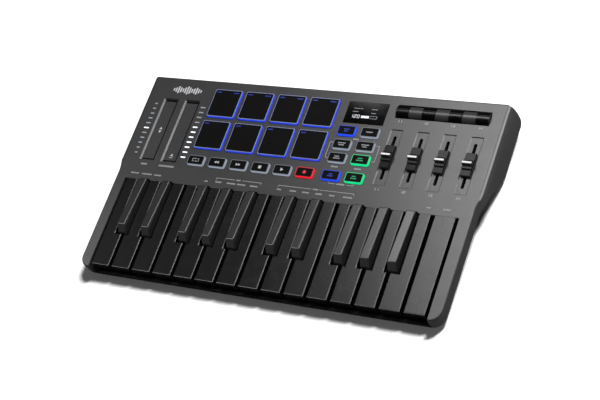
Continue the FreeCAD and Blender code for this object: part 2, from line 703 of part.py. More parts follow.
def make_jack(spec):
    """A round jack: a block behind the rear wall with a nose through it and a blind bore."""
    x, size, depth = spec["x"], spec["body"], spec["depth"]
    back = SOCKET_FACE_Y - depth - 2
    body = block(around(x, size), (back, SOCKET_FACE_Y - 2 * WALL), around(SOCKET_Z, size))
    nose = rod_y(x, (SOCKET_FACE_Y - 2 * WALL - 1, SOCKET_FACE_Y), SOCKET_Z, spec["nose"])
    bore = rod_y(x, (SOCKET_FACE_Y - depth, SOCKET_FACE_Y + 1), SOCKET_Z, spec["bore"])
    return fuse_all([body, nose]).cut(bore)


def make_usb_socket():
    """A reversible USB socket: a rounded tube with a thin tongue inside."""
    x, depth = USB["x"], USB["depth"]
    y = (SOCKET_FACE_Y - depth, SOCKET_FACE_Y)
    tongue_half, tongue_thin = 3.4, 0.35

    def tube(size, ends):
        solid = block(around(x, size[0] / 2), ends, around(SOCKET_Z, size[1] / 2))
        long_edges = [e for e in solid.Edges if abs(e.tangentAt(e.FirstParameter).y) > 0.9]
        return solid.makeFillet(size[1] / 2 - 0.1, long_edges)

    shell = tube(USB["outer"], y).cut(tube(USB["inner"], (y[0] + 1, y[1] + 1)))
    tongue = block(around(x, tongue_half), (y[0] + 0.5, y[1] - 0.6), around(SOCKET_Z, tongue_thin))
    return fuse_all([shell, tongue])


def make_feet():
    """Four rubber feet, cut level with the desk."""
    desk = block(around(0, 4 * FAR), around(0, 4 * FAR), (DESK_Z - FAR, DESK_Z))
    desk.rotate(vec(0, 0, 0), vec(1, 0, 0), -TILT_DEG)
    feet = []
    for x, y, bottom in FEET:
        for side in (-1, 1):
            feet.append(rod_z(side * x, y, (bottom - FAR / 2, bottom), FOOT_R).cut(desk))
    return Part.makeCompound(feet)


def make_screws():
    """Case screws: a flat round head in the floor and a shank into each boss."""
    screws = []
    for x, y, bottom in SCREW_SPOTS:
        for side in (-1, 1):
            head = rod_z(side * x, y, (bottom + 0.1, bottom + 0.1 + SCREW_HEAD[1]), SCREW_HEAD[0])
            shank = rod_z(side * x, y, (bottom + 1, bottom + SCREW_LENGTH), SCREW_R)
            screws.append(fuse_all([head, shank]))
    return Part.makeCompound(screws)


# ---------------------------------------------------------------- assembly
def build_nodes():
    sockets = Part.makeCompound([make_jack(SUSTAIN), make_jack(MIDI_OUT), make_usb_socket()])
    nodes = {"top_shell": make_top_shell(), "bottom_shell": make_bottom_shell(),
             "key_frame": make_key_frame(), "key_pivot_rod": make_pivot_rod(),
             "circuit_boards": make_circuit_boards(), "display_module": make_display(),
             "touch_strips": make_touch_strips(), "roller_mount": make_roller_mount(),
             "fader_bodies": make_fader_bodies(), "rear_sockets": sockets,
             "rubber_feet": make_feet(), "case_screws": make_screws()}
    for i in range(WHITE_COUNT):
        nodes[f"white_key_{i + 1}"] = make_white_key(i)
    for i, middle in enumerate(black_middles().values()):
        nodes[f"black_key_{i + 1}"] = make_black_key(middle)
    for i in range(CHANNELS):
        nodes[f"roller_{i + 1}"] = make_roller(channel_x(i))
        nodes[f"fader_cap_{i + 1}"] = make_fader_cap(channel_x(i))
    function_caps = []
    for name, middle, size, radius in cap_places():
        if name == "function_buttons":
            function_caps.append(make_cap(middle, size, radius))
        else:
            nodes[name] = make_cap(middle, size, radius)
    nodes["function_buttons"] = Part.makeCompound(function_caps)
    return nodes


def stand_on_feet(nodes):
    """Tip the model back by the panel's slope, then put the origin under its middle, on the desk."""
    for shape in nodes.values():
        shape.rotate(vec(0, 0, 0), vec(1, 0, 0), TILT_DEG)
    whole = Part.makeCompound(list(nodes.values())).optimalBoundingBox()
    shift = vec(-whole.Center.x, -whole.Center.y, -whole.ZMin)
    for shape in nodes.values():
        shape.translate(shift)
    return shift


def main():
    os.makedirs("parts", exist_ok=True)
    nodes = build_nodes()
    shift = stand_on_feet(nodes)
    print("panel origin in the part's frame:", [round(c, 4) for c in shift])
    for name, shape in nodes.items():
        shape.exportStep(f"parts/{name}.step")
    print(len(nodes), "nodes")


main()
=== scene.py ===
import json
import math

import bpy
from mathutils import Matrix, Quaternion, Vector


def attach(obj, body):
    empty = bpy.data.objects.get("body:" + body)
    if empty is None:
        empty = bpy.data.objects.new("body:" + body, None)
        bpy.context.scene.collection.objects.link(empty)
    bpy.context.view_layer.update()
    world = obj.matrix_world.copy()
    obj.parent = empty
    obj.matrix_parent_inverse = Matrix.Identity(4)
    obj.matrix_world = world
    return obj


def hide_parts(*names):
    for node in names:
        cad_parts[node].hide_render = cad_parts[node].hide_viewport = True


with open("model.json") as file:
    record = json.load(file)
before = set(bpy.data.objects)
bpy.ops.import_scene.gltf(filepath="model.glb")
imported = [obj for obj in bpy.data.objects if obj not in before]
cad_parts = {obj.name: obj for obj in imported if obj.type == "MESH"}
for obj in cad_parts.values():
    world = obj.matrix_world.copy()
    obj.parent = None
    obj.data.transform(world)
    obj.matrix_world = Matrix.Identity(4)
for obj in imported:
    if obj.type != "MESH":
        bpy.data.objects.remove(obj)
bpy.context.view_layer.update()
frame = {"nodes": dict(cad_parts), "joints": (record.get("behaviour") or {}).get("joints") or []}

# A 25-key MIDI keyboard. The CAD nodes carry every shape that moves or fits. This script gives them
# their materials, and adds the thin things that lie on them: pad faces, lit dashes, the display's
# picture, printed marks and fader lines. Sizes are in millimetres in the panel frame: X to the
# player's right from the middle, Y away from the player from the front edge of the keys, and Z
# square to the control panel, up from its surface.

MM = 0.001

# ------------------------------------------------------------------ panel frame
CHANNELS = 4                   # rollers, each with a fader in front of it
CHANNEL_FIRST_X = 77.96
CHANNEL_PITCH = 22.46
ROLLER_AXIS = Vector((CHANNEL_FIRST_X, 166.2, -4.1))

joints = {joint["name"]: joint for joint in frame["joints"]}
UP = -Vector(joints["pad_1_press"]["axis"])
RIGHT = Vector((1, 0, 0))
BACK = UP.cross(RIGHT)
TURN = Matrix((RIGHT, BACK, UP)).transposed()
ORIGIN = Vector(joints["roller_1_turn"]["pos_m"]) - TURN @ (ROLLER_AXIS * MM)
PANEL = Matrix.Translation(ORIGIN) @ TURN.to_4x4() @ Matrix.Scale(MM, 4)


def place(x, y, z):
    """A point of the panel frame, in millimetres, as a point of the scene, in metres."""
    return PANEL @ Vector((x, y, z))


def channel_x(index):
    """The middle of a roller and of the fader in front of it."""
    return CHANNEL_FIRST_X + index * CHANNEL_PITCH


# ------------------------------------------------------------------ camera
CAMERA_AT = (575.1, -358.5, 905.0)
CAMERA_TARGET = (16.83, 79.62, 0.0)
CAMERA_UP = Vector((-0.10639, 0.86763, 0.48570))
CAMERA_LENS = 88.87
SENSOR_WIDTH = 36.0
VIEW_DEPTH = 20.0              # metres


def make_camera():
    data = bpy.data.cameras.new("camera")
    data.lens = CAMERA_LENS
    data.sensor_width = SENSOR_WIDTH
    data.clip_end = VIEW_DEPTH
    camera = bpy.data.objects.new("camera", data)
    bpy.context.scene.collection.objects.link(camera)
    at = place(*CAMERA_AT)
    back = (at - place(*CAMERA_TARGET)).normalized()
    side = (TURN @ CAMERA_UP).cross(back).normalized()
    up = back.cross(side)
    camera.matrix_world = Matrix.Translation(at) @ Matrix((side, up, back)).transposed().to_4x4()
    bpy.context.scene.camera = camera


make_camera()

# ------------------------------------------------------------------ mesh helpers
CORNER_STEPS = 5
EDGE_STEPS = 3
DISC_SIDES = 28
SMALLEST_RADIUS = 0.05
SHARP_EDGE = 0.02


def make_piece(name, vertices, faces, material, body):
    """A mesh piece from points of the panel frame, riding on a body."""
    mesh = bpy.data.meshes.new(name)
    mesh.from_pydata([place(*v) for v in vertices], [], faces)
    mesh.validate()
    mesh.shade_flat()
    mesh.materials.append(MATERIALS[material])
    mesh.update()
    piece = bpy.data.objects.new(name, mesh)
    bpy.context.scene.collection.objects.link(piece)
    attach(piece, body)
    return piece


def rounded_ring(middle, size, radius, z):
    """Points round a rectangle with rounded corners, anticlockwise from above."""
    half_x, half_y = size[0] / 2 - radius, size[1] / 2 - radius
    points = []
    for corner, (sx, sy) in enumerate(((1, 1), (-1, 1), (-1, -1), (1, -1))):
        for step in range(CORNER_STEPS + 1):
            angle = (corner + step / CORNER_STEPS) * math.pi / 2
            points.append((middle[0] + sx * half_x + radius * math.cos(angle),
                           middle[1] + sy * half_y + radius * math.sin(angle), z))
    return points


def loft(rings):
    """Vertices and faces of a closed solid through rings of equal length, from the lowest up."""
    count = len(rings[0])
    vertices = [point for ring in rings for point in ring]
    faces = [list(range(count))[::-1]]
    for level in range(len(rings) - 1):
        low, high = level * count, (level + 1) * count
        for i in range(count):
            j = (i + 1) % count
            faces.append([low + i, low + j, high + j, high + i])
    faces.append([(len(rings) - 1) * count + i for i in range(count)])
    return vertices, faces


def plate_rings(middle, size, radius, low, high, edge):
    """Rings of a plate whose upper edge is rounded."""
    rings = [rounded_ring(middle, size, radius, low)]
    for step in range(EDGE_STEPS + 1):
        angle = step / EDGE_STEPS * math.pi / 2
        inset = edge * (1 - math.cos(angle))
        drop = edge * (1 - math.sin(angle))
        shrunk = (size[0] - 2 * inset, size[1] - 2 * inset)
        corner = max(radius - inset, SMALLEST_RADIUS)
        rings.append(rounded_ring(middle, shrunk, corner, high - drop))
    return rings


class Solids:
    """Several closed solids gathered into one mesh piece. Each method gives the gathering back."""

    def __init__(self):
        self.vertices = []
        self.faces = []

    def add(self, vertices, faces):
        start = len(self.vertices)
        self.vertices += vertices
        self.faces += [[start + i for i in face] for face in faces]
        return self

    def plate(self, middle, size, radius, low, high, edge=SHARP_EDGE):
        """A flat plate with rounded corners, edge being the radius of its upper edge."""
        return self.add(*loft(plate_rings(middle, size, radius, low, high, edge)))

    def prism(self, outline, low, high):
        """An upright prism on an anticlockwise outline."""
        rings = [[(x, y, z) for x, y in outline] for z in (low, high)]
        return self.add(*loft(rings))

    def stroke(self, a, b, width, low, high):
        """A straight printed line from a to b."""
        along = Vector((b[0] - a[0], b[1] - a[1]))
        side = Vector((-along.y, along.x)).normalized() * width / 2
        outline = [(a[0] - side.x, a[1] - side.y), (b[0] - side.x, b[1] - side.y),
                   (b[0] + side.x, b[1] + side.y), (a[0] + side.x, a[1] + side.y)]
        return self.prism(outline, low, high)

    def path(self, points, width, low, high):
        for a, b in zip(points, points[1:]):
            self.stroke(a, b, width, low, high)
        return self

    def disc(self, middle, radius, low, high):
        angles = [side / DISC_SIDES * math.tau for side in range(DISC_SIDES)]
        outline = [(middle[0] + radius * math.cos(angle), middle[1] + radius * math.sin(angle))
                   for angle in angles]
        return self.prism(outline, low, high)

    def piece(self, name, material, body, slot):
        return make_piece(name, self.vertices, self.faces, material, body)


# ------------------------------------------------------------------ kinds of material
NOISE_RANGE = (0.3, 0.7)       # where nearly all values of a noise lie
DRIFT_MM = 35.0                # size of the slow changes of colour in moulded plastic
SMEAR_MM = 9.0                 # size of its shinier and duller areas
FINE_DETAIL = 2.0


def node_material(name):
    material = bpy.data.materials.new(name)
    material.use_nodes = True
    tree = material.node_tree
    shader = next(n for n in tree.nodes if n.type == "BSDF_PRINCIPLED")
    return material, tree, shader


def noise(tree, size_mm, detail=3.0, stretch=None):
    """A noise texture with features of about size_mm, fixed to the object."""
    coordinates = tree.nodes.new("ShaderNodeTexCoord")
    texture = tree.nodes.new("ShaderNodeTexNoise")
    texture.inputs["Scale"].default_value = 1 / (size_mm * MM)
    texture.inputs["Detail"].default_value = detail
    source = coordinates.outputs["Object"]
    if stretch:
        mapping = tree.nodes.new("ShaderNodeMapping")
        mapping.inputs["Scale"].default_value = stretch
        tree.links.new(source, mapping.inputs["Vector"])
        source = mapping.outputs["Vector"]
    tree.links.new(source, texture.inputs["Vector"])
    return texture.outputs["Fac"]


def spread(tree, value, low, high):
    """Maps the middle of a noise to the range low to high."""
    node = tree.nodes.new("ShaderNodeMapRange")
    node.inputs["From Min"].default_value = NOISE_RANGE[0]
    node.inputs["From Max"].default_value = NOISE_RANGE[1]
    node.inputs["To Min"].default_value = low
    node.inputs["To Max"].default_value = high
    tree.links.new(value, node.inputs["Value"])
    return node.outputs["Result"]


def tint(tree, shader, value, low, high):
    """Colours the material between two colours by a noise."""
    ramp = tree.nodes.new("ShaderNodeValToRGB")
    for element, position, colour in zip(ramp.color_ramp.elements, NOISE_RANGE, (low, high)):
        element.position = position
        element.color = (*colour, 1)
    tree.links.new(value, ramp.inputs["Fac"])
    tree.links.new(ramp.outputs["Color"], shader.inputs["Base Color"])


def bump(tree, shader, value, height_mm):
    node = tree.nodes.new("ShaderNodeBump")
    node.inputs["Distance"].default_value = height_mm * MM
    node.inputs["Strength"].default_value = 1.0
    tree.links.new(value, node.inputs["Height"])
    tree.links.new(node.outputs["Normal"], shader.inputs["Normal"])


def moulded(name, tones, rough, grain, specular):
    """Moulded plastic: slight colour drift, uneven gloss and a fine spark-eroded grain.

    tones are its darkest and lightest colour, rough is its range of roughness, and grain is the
    size and the height of its grain in millimetres.
    """
    material, tree, shader = node_material(name)
    tint(tree, shader, noise(tree, DRIFT_MM), *tones)
    smear = noise(tree, SMEAR_MM)
    tree.links.new(spread(tree, smear, *rough), shader.inputs["Roughness"])
    bump(tree, shader, noise(tree, grain[0], FINE_DETAIL), grain[1])
    shader.inputs["Specular IOR Level"].default_value = specular
    return material


FLANK_RANGE = (0.95, 0.45)     # how far upward a normal points on a cap's top, and on its sides


def flank_share(tree):
    """1 on the upright sides of a cap and 0 on its top."""
    coordinates = tree.nodes.new("ShaderNodeTexCoord")
    split = tree.nodes.new("ShaderNodeSeparateXYZ")
    share = tree.nodes.new("ShaderNodeMapRange")
    share.inputs["From Min"].default_value = FLANK_RANGE[0]
    share.inputs["From Max"].default_value = FLANK_RANGE[1]
    tree.links.new(coordinates.outputs["Normal"], split.inputs["Vector"])
    tree.links.new(split.outputs["Z"], share.inputs["Value"])
    return share.outputs["Result"]


CLOUD_MM = 6.0                 # size of the uneven areas of a light behind silicone
CLOUD_STRENGTH = (0.9, 1.1)
PALER = 1.15
SILICONE_ROUGH = (0.30, 0.42)
SILICONE_ROUGH_MM = 2.5
SILICONE_GRAIN = (0.5, 0.008)


def lit_silicone(name, colour, glow, strength, top=1.0):
    """Translucent silicone with a light behind it; top is the share of the light on its top."""
    material, tree, shader = node_material(name)
    cloud = noise(tree, CLOUD_MM)
    tint(tree, shader, cloud, colour, tuple(c * PALER for c in colour))
    gloss = spread(tree, noise(tree, SILICONE_ROUGH_MM), *SILICONE_ROUGH)
    tree.links.new(gloss, shader.inputs["Roughness"])
    bump(tree, shader, noise(tree, SILICONE_GRAIN[0], FINE_DETAIL), SILICONE_GRAIN[1])
    shader.inputs["Emission Color"].default_value = (*glow, 1)
    light = spread(tree, cloud, *[strength * share for share in CLOUD_STRENGTH])
    if top < 1:
        lamp = tree.nodes.new("ShaderNodeMapRange")
        lamp.inputs["To Min"].default_value = top * strength
        tree.links.new(light, lamp.inputs["To Max"])
        tree.links.new(flank_share(tree), lamp.inputs["Value"])
        light = lamp.outputs["Result"]
    tree.links.new(light, shader.inputs["Emission Strength"])
    return material


BRUSH_LINE_MM = 0.4
BRUSH_DEPTH_MM = 0.004
BRUSH_DARKER = 0.85


def brushed_metal(name, colour, rough, stretch):
    """Metal with fine lines; stretch says how much finer they are along each axis."""
    material, tree, shader = node_material(name)
    lines = noise(tree, BRUSH_LINE_MM, FINE_DETAIL, stretch)
    tint(tree, shader, lines, tuple(c * BRUSH_DARKER for c in colour), colour)
    tree.links.new(spread(tree, lines, *rough), shader.inputs["Roughness"])
    bump(tree, shader, lines, BRUSH_DEPTH_MM)
    shader.inputs["Metallic"].default_value = 1.0
    return material


# ------------------------------------------------------------------ the materials
def greys(*levels):
    """Greys with a trace of blue."""
    return tuple((level, level, level * 1.03) for level in levels)


# tones, range of roughness, size and height of the grain, specular level
MOULDED = {
    "panel_grey": (greys(0.034, 0.037), (0.28, 0.31), (0.35, 0.0015), 0.45),
    "case_black": (greys(0.004, 0.006), (0.5, 0.6), (0.5, 0.012), 0.2),
    "frame_black": (greys(0.004, 0.006), (0.55, 0.65), (0.8, 0.01), 0.2),
    "socket_black": (greys(0.004, 0.006), (0.35, 0.45), (0.4, 0.005), 0.3),
    "white_key_black": (greys(0.0022, 0.003), (0.25, 0.28), (0.5, 0.0006), 0.45),
    # The black keys are the same black plastic as the white keys. Their base colour is painted ten
    # times lighter, as painted light for the light their raised tops catch.
    "black_key_black": (greys(0.022, 0.024), (0.20, 0.23), (0.4, 0.0006), 0.5),
    "fader_black": (greys(0.004, 0.006), (0.17, 0.22), (0.3, 0.001), 0.5),
    "roller_black": (greys(0.002, 0.003), (0.20, 0.26), (0.3, 0.001), 0.4),
    "pad_black": (greys(0.0055, 0.0065), (0.5, 0.58), (0.35, 0.006), 0.06),
    "rubber": (greys(0.012, 0.018), (0.7, 0.8), (0.4, 0.02), 0.3),
    "display_glass": (greys(0.002, 0.003), (0.05, 0.09), (6.0, 0.001), 0.2),
    "board_green": (((0.003, 0.009, 0.005), (0.004, 0.012, 0.006)), (0.3, 0.4), (1.5, 0.01), 0.5),
    "print_white": (greys(0.80, 0.88), (0.45, 0.55), (0.3, 0.003), 0.5),
    "print_grey": (greys(0.66, 0.74), (0.45, 0.55), (0.3, 0.003), 0.5),
}
# colour, range of roughness, stretch of the lines
BRUSHED = {
    "fader_metal": ((0.02, 0.02, 0.02), (0.35, 0.45), (1, 12, 12)),
    "steel": ((0.6, 0.6, 0.6), (0.22, 0.32), (1, 14, 14)),
    "screw_black": ((0.06, 0.06, 0.06), (0.35, 0.5), (6, 6, 1)),
}
# colour, glow, strength of the glow, share of it on the top
LIT = {
    "pad_blue": ((0.34, 0.38, 0.50), (0.004, 0.050, 0.95), 0.72, 0.06),
    "glow_blue": ((0.02, 0.04, 0.3), (0.01, 0.07, 0.98), 1.0, 0.5),
    "faint_blue": ((0.02, 0.03, 0.2), (0.02, 0.07, 0.9), 0.42),
    "glow_green": ((0.02, 0.4, 0.16), (0.0, 0.85, 0.3), 0.95, 0.5),
    "glow_red": ((0.35, 0.01, 0.02), (0.95, 0.012, 0.03), 0.9, 0.6),
    "glow_grey": ((0.16, 0.18, 0.22), (0.55, 0.62, 0.75), 0.5, 0.2),
    "light_white": ((0.8, 0.82, 0.85), (0.9, 0.95, 1.0), 0.9),
    "light_soft": ((0.4, 0.41, 0.43), (0.8, 0.85, 0.9), 0.3),
    "light_mid": ((0.6, 0.61, 0.63), (0.9, 0.95, 1.0), 0.6),
    "light_dim": ((0.3, 0.32, 0.35), (0.5, 0.54, 0.60), 0.24),
}
MATERIALS = {name: make(name, *values)
             for make, table in ((moulded, MOULDED), (brushed_metal, BRUSHED), (lit_silicone, LIT))
             for name, values in table.items()}

# ------------------------------------------------------------------ materials on the CAD nodes
WHITE_KEYS = 15
BLACK_KEYS = 10
PADS_PER_ROW = 4
PAD_ROWS_Y = (158.7, 128.2)
TRANSPORT_NAMES = ("loop", "rewind", "forward", "stop", "play", "record")


def paint(material, *nodes):
    for node in nodes:
        slots = frame["nodes"][node].data.materials
        slots.clear()
        slots.append(MATERIALS[material])


def numbered(name, count):
    return [f"{name}_{number}" for number in range(1, count + 1)]


paint("panel_grey", "top_shell", "touch_strips", "roller_mount")
paint("case_black", "bottom_shell")
paint("frame_black", "key_frame")
paint("steel", "key_pivot_rod")
paint("board_green", "circuit_boards")
paint("display_glass", "display_module")
paint("fader_metal", "fader_bodies")
paint("socket_black", "rear_sockets")
paint("rubber", "rubber_feet")
paint("screw_black", "case_screws")
paint("white_key_black", *numbered("white_key", WHITE_KEYS))
# the black keys get the lighter copy of the key plastic: painted light on their raised tops
paint("black_key_black", *numbered("black_key", BLACK_KEYS))
paint("pad_blue", *numbered("pad", PADS_PER_ROW * len(PAD_ROWS_Y)))
paint("glow_grey", *numbered("transport_button", len(TRANSPORT_NAMES) - 1))
paint("glow_red", f"transport_button_{len(TRANSPORT_NAMES)}")
paint("roller_black", *numbered("roller", CHANNELS))
paint("fader_black", *numbered("fader_cap", CHANNELS))

# ------------------------------------------------------------------ ink and letters
# An ink is the lower and the upper height of a printed or lit mark. Letters are the width of a
# bar, the gap to the next and the height of the row.
CAP_TOP = 1.8
FACE_RISE = 0.12
FACE_SUNK = 0.05
SUNK = 0.01
INK = 0.03
CAP_INK = (CAP_TOP + FACE_RISE - SUNK, CAP_TOP + FACE_RISE + INK)
PANEL_INK = (-0.02, INK)
BAR_CORNER = 0.05
BAR_EDGE = 0.01


def tick_word(solids, left, y, length, letters, ink):
    """A generic stand-in for a printed word: a row of small plain bars."""
    width, gap, height = letters
    x = left
    while x < left + length - width / 2:
        solids.plate((x + width / 2, y), (width, height), BAR_CORNER, *ink, BAR_EDGE)
        x += width + gap


def cap_face(name, middle, size, radius, edge, body):
    """The dark face that lies on a lit cap."""
    face = Solids().plate(middle, size, radius, CAP_TOP - FACE_SUNK, CAP_TOP + FACE_RISE, edge)
    face.piece(name, "pad_black", body, "pad_face")


# ------------------------------------------------------------------ pads
PAD_FACE = (24.9, 24.9)
PAD_FACE_CORNER = 1.1
PAD_FACE_EDGE = 0.1
PAD_FIRST_X = -83.6
PAD_PITCH = 30.49
PAD_LETTERS = (0.5, 0.4, 1.1)
PAD_WORD_Y = 10.2              # from the middle of the pad
LEFT_WORD = (-10.8, 4.0)       # left end from the middle of the pad, and length
RIGHT_WORD = (5.4, 5.4)


def make_pad_faces():
    for row, y in enumerate(PAD_ROWS_Y):
        for column in range(PADS_PER_ROW):
            number = row * PADS_PER_ROW + column + 1
            x = PAD_FIRST_X + column * PAD_PITCH
            body = f"pad_{number}"
            cap_face(f"pad_face_{number}", (x, y), PAD_FACE, PAD_FACE_CORNER, PAD_FACE_EDGE, body)
            marks = Solids()
            for left, length in (LEFT_WORD, RIGHT_WORD) if row == 0 else (LEFT_WORD,):
                tick_word(marks, x + left, y + PAD_WORD_Y, length, PAD_LETTERS, CAP_INK)
            marks.piece(f"pad_mark_{number}", "faint_blue", body, "glow_blue")


# ------------------------------------------------------------------ buttons
BUTTON_FACE = (14.1, 7.4)
BUTTON_FACE_CORNER = 0.9
BUTTON_FACE_EDGE = 0.08


def button_face(name, middle, body):
    cap_face(name, middle, BUTTON_FACE, BUTTON_FACE_CORNER, BUTTON_FACE_EDGE, body)


TRANSPORT_FIRST_X = -89.3
TRANSPORT_PITCH = 20.4
TRANSPORT_Y = 103.4
LOOP_HALF = (2.9, 1.2)
LOOP_LINE = 0.32
LOOP_ARROW = 0.9
LOOP_NEAR_END = 0.7            # from the middle to the end of the line before an arrow
LOOP_FAR_END = 1.2             # and to the end of the line after it
SKIP_ARROW = 2.2
SKIP_SHIFT = 1.1
STOP_SIDE = 2.6
STOP_CORNER = 0.15
PLAY_ARROW = 2.6
RECORD_RADIUS = 1.5


def triangle(x, y, size, facing):
    """A triangle pointing along X, to the right for facing 1 and to the left for -1."""
    tip = (x + facing * size * 0.55, y)
    upper = (x - facing * size * 0.45, y + size * 0.55)
    lower = (x - facing * size * 0.45, y - size * 0.55)
    return [tip, upper, lower] if facing > 0 else [tip, lower, upper]


def add_loop(icon, x, y):
    """Two halves of a rounded track, the second turned half round, each with an arrow."""
    for turn in (1, -1):
        wide, tall = turn * LOOP_HALF[0], turn * LOOP_HALF[1]
        track = [(x - turn * LOOP_NEAR_END, y + tall), (x - wide, y + tall),
                 (x - wide, y - tall), (x - turn * LOOP_FAR_END, y - tall)]
        icon.path(track, LOOP_LINE, *CAP_INK)
        icon.prism(triangle(x, y + tall, LOOP_ARROW, turn), *CAP_INK)


def transport_icon(name, x, y):
    icon = Solids()
    if name == "loop":
        add_loop(icon, x, y)
    elif name in ("rewind", "forward"):
        facing = -1 if name == "rewind" else 1
        for shift in (-SKIP_SHIFT, SKIP_SHIFT):
            icon.prism(triangle(x + shift, y, SKIP_ARROW, facing), *CAP_INK)
    elif name == "stop":
        icon.plate((x, y), (STOP_SIDE, STOP_SIDE), STOP_CORNER, *CAP_INK)
    elif name == "play":
        icon.prism(triangle(x, y, PLAY_ARROW, 1), *CAP_INK)
    else:
        icon.disc((x, y), RECORD_RADIUS, *CAP_INK)
    return icon


def make_transport_buttons():
    for index, name in enumerate(TRANSPORT_NAMES):
        x = TRANSPORT_FIRST_X + index * TRANSPORT_PITCH
        body = f"transport_button_{index + 1}"
        button_face(f"{name}_face", (x, TRANSPORT_Y), body)
        ink = ("glow_red", "glow_red") if name == "record" else ("light_soft", "light_white")
        transport_icon(name, x, TRANSPORT_Y).piece(f"{name}_icon", ink[0], body, ink[1])


BUTTON_BODY = (15.5, 8.7)
BUTTON_CORNER = 1.4
BUTTON_EDGE = 0.4
BUTTON_BOTTOM = -4.3
FLANGE = (17.5, 10.7)
FLANGE_Z = (-4.7, -4.0)
PLUNGER = (7.75, 4.35)
PLUNGER_CORNER = 0.3
PLUNGER_Z = (-9.4, -4.4)
FUNCTION_X = (35.95, 56.4)
FUNCTION_Y = (144.3, 131.65, 119.45, 103.4)
FUNCTION_LETTERS = (0.45, 0.4, 0.9)
FUNCTION_LINE_STEP = 1.8
# the glow of each button and the lengths of its printed lines, by row from the rear
FUNCTION_CAPS = (
    (("glow_blue", (4.6, 3.4)), ("glow_grey", (6.0,))),
    (("glow_grey", (6.6, 5.0)), ("glow_grey", (6.2, 4.0))),
    (("glow_grey", (4.4, 5.6)), ("glow_green", (4.4, 6.0))),
    (("glow_blue", (3.0, 5.2)), ("glow_green", (3.6, 4.6))),
)
GLOW_SLOTS = {"glow_blue": "glow_blue", "glow_grey": "button_glow", "glow_green": "glow_green"}


def make_function_button(name, x, y, glow, lengths):
    body = "function_buttons"
    solids = Solids().plate((x, y), FLANGE, BUTTON_CORNER, *FLANGE_Z)
    solids.plate((x, y), BUTTON_BODY, BUTTON_CORNER, BUTTON_BOTTOM, CAP_TOP, BUTTON_EDGE)
    solids.plate((x, y), PLUNGER, PLUNGER_CORNER, *PLUNGER_Z)
    piece = solids.piece(f"{name}_cap", glow, body, GLOW_SLOTS[glow])
    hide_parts("function_buttons")
    button_face(f"{name}_face", (x, y), body)
    marks = Solids()
    for line, length in enumerate(lengths):
        rise = FUNCTION_LINE_STEP * ((len(lengths) - 1) / 2 - line)
        tick_word(marks, x - length / 2, y + rise, length, FUNCTION_LETTERS, CAP_INK)
    ink = ("light_soft", "light_white") if glow == "glow_grey" else (glow, GLOW_SLOTS[glow])
    marks.piece(f"{name}_mark", ink[0], body, ink[1])


def make_function_buttons():
    """Eight caps on one node: each is drawn again, so that each can have its own light."""
    for row, y in enumerate(FUNCTION_Y):
        for column, x in enumerate(FUNCTION_X):
            name = f"function_{row + 1}{'ab'[column]}"
            make_function_button(name, x, y, *FUNCTION_CAPS[row][column])


# ------------------------------------------------------------------ touch strips and their lights
STRIP_LIGHTS = 11
LIGHT_TOP_Y = 153.7
LIGHT_PITCH = 4.82
LIGHT_WIDTH = 1.2
LIGHT_CORNER = 0.5
LIGHT_EDGE = 0.05
LIGHT_Z = (-0.15, 0.06)
LEFT_LIGHTS_X = -150.95
LEFT_LONGEST = 5.0             # the middle light, from which the others grow shorter both ways
LEFT_SHORTER = 0.45
RIGHT_LIGHTS_X = -103.7
RIGHT_LENGTH = 4.7
RIGHT_FIRST_BRIGHT = 4


def make_strip_lights():
    bright, dim = Solids(), Solids()
    for i in range(STRIP_LIGHTS):
        y = LIGHT_TOP_Y - i * LIGHT_PITCH
        from_middle = abs(i - STRIP_LIGHTS // 2)
        left_length = LEFT_LONGEST - LEFT_SHORTER * from_middle
        for x, length, lit in ((LEFT_LIGHTS_X, left_length, from_middle == 0),
                               (RIGHT_LIGHTS_X, RIGHT_LENGTH, i >= RIGHT_FIRST_BRIGHT)):
            lights = bright if lit else dim
            lights.plate((x, y), (length, LIGHT_WIDTH), LIGHT_CORNER, *LIGHT_Z, LIGHT_EDGE)
    bright.piece("strip_lights_bright", "light_white", "case", "light_white")
    dim.piece("strip_lights_dim", "light_dim", "case", "light_dim")


STRIP_FLOOR = -1.6
STRIP_INK = (STRIP_FLOOR - SUNK, STRIP_FLOOR + INK)
PITCH_ICON = (-137.5, 129.6)
PITCH_GAP = 0.6                # from its middle to the base of each arrow
PITCH_REACH = 3.0              # and to the tip
LEVEL_ICON = (-116.3, 106.0)
LEVEL_REACH = 2.4
LEVEL_LINE_DROP = 1.4
LEVEL_LINE = 0.5
ARROW_HALF = 1.5


def make_strip_icons():
    """Up and down arrows on the first strip, and an up arrow over a line on the second."""
    icons = Solids()
    x, y = PITCH_ICON
    for way in (1, -1):
        base = y + way * PITCH_GAP
        arrow = [(x - way * ARROW_HALF, base), (x + way * ARROW_HALF, base),
                 (x, y + way * PITCH_REACH)]
        icons.prism(arrow, *STRIP_INK)
    x, y = LEVEL_ICON
    left, right = x - ARROW_HALF, x + ARROW_HALF
    icons.prism([(left, y), (right, y), (x, y + LEVEL_REACH)], *STRIP_INK)
    line_y = y - LEVEL_LINE_DROP
    icons.stroke((left, line_y), (right, line_y), LEVEL_LINE, *STRIP_INK)
    icons.piece("strip_icons", "print_white", "case", "print_white")


# ------------------------------------------------------------------ printed marks
SEGMENTS = {"0": "abcdef", "1": "bc", "2": "abged", "3": "abgcd", "4": "fgbc"}


def digit(solids, character, corner, size, line, ink):
    """A plain digit made of straight strokes, from its lower left corner."""
    left, bottom = corner
    right, top, middle = left + size[0], bottom + size[1], bottom + size[1] / 2
    ends = {"a": ((left, top), (right, top)), "b": ((right, top), (right, middle)),
            "c": ((right, middle), (right, bottom)), "d": ((left, bottom), (right, bottom)),
            "e": ((left, middle), (left, bottom)), "f": ((left, top), (left, middle)),
            "g": ((left, middle), (right, middle))}
    for segment in SEGMENTS[character]:
        solids.stroke(*ends[segment], line, *ink)


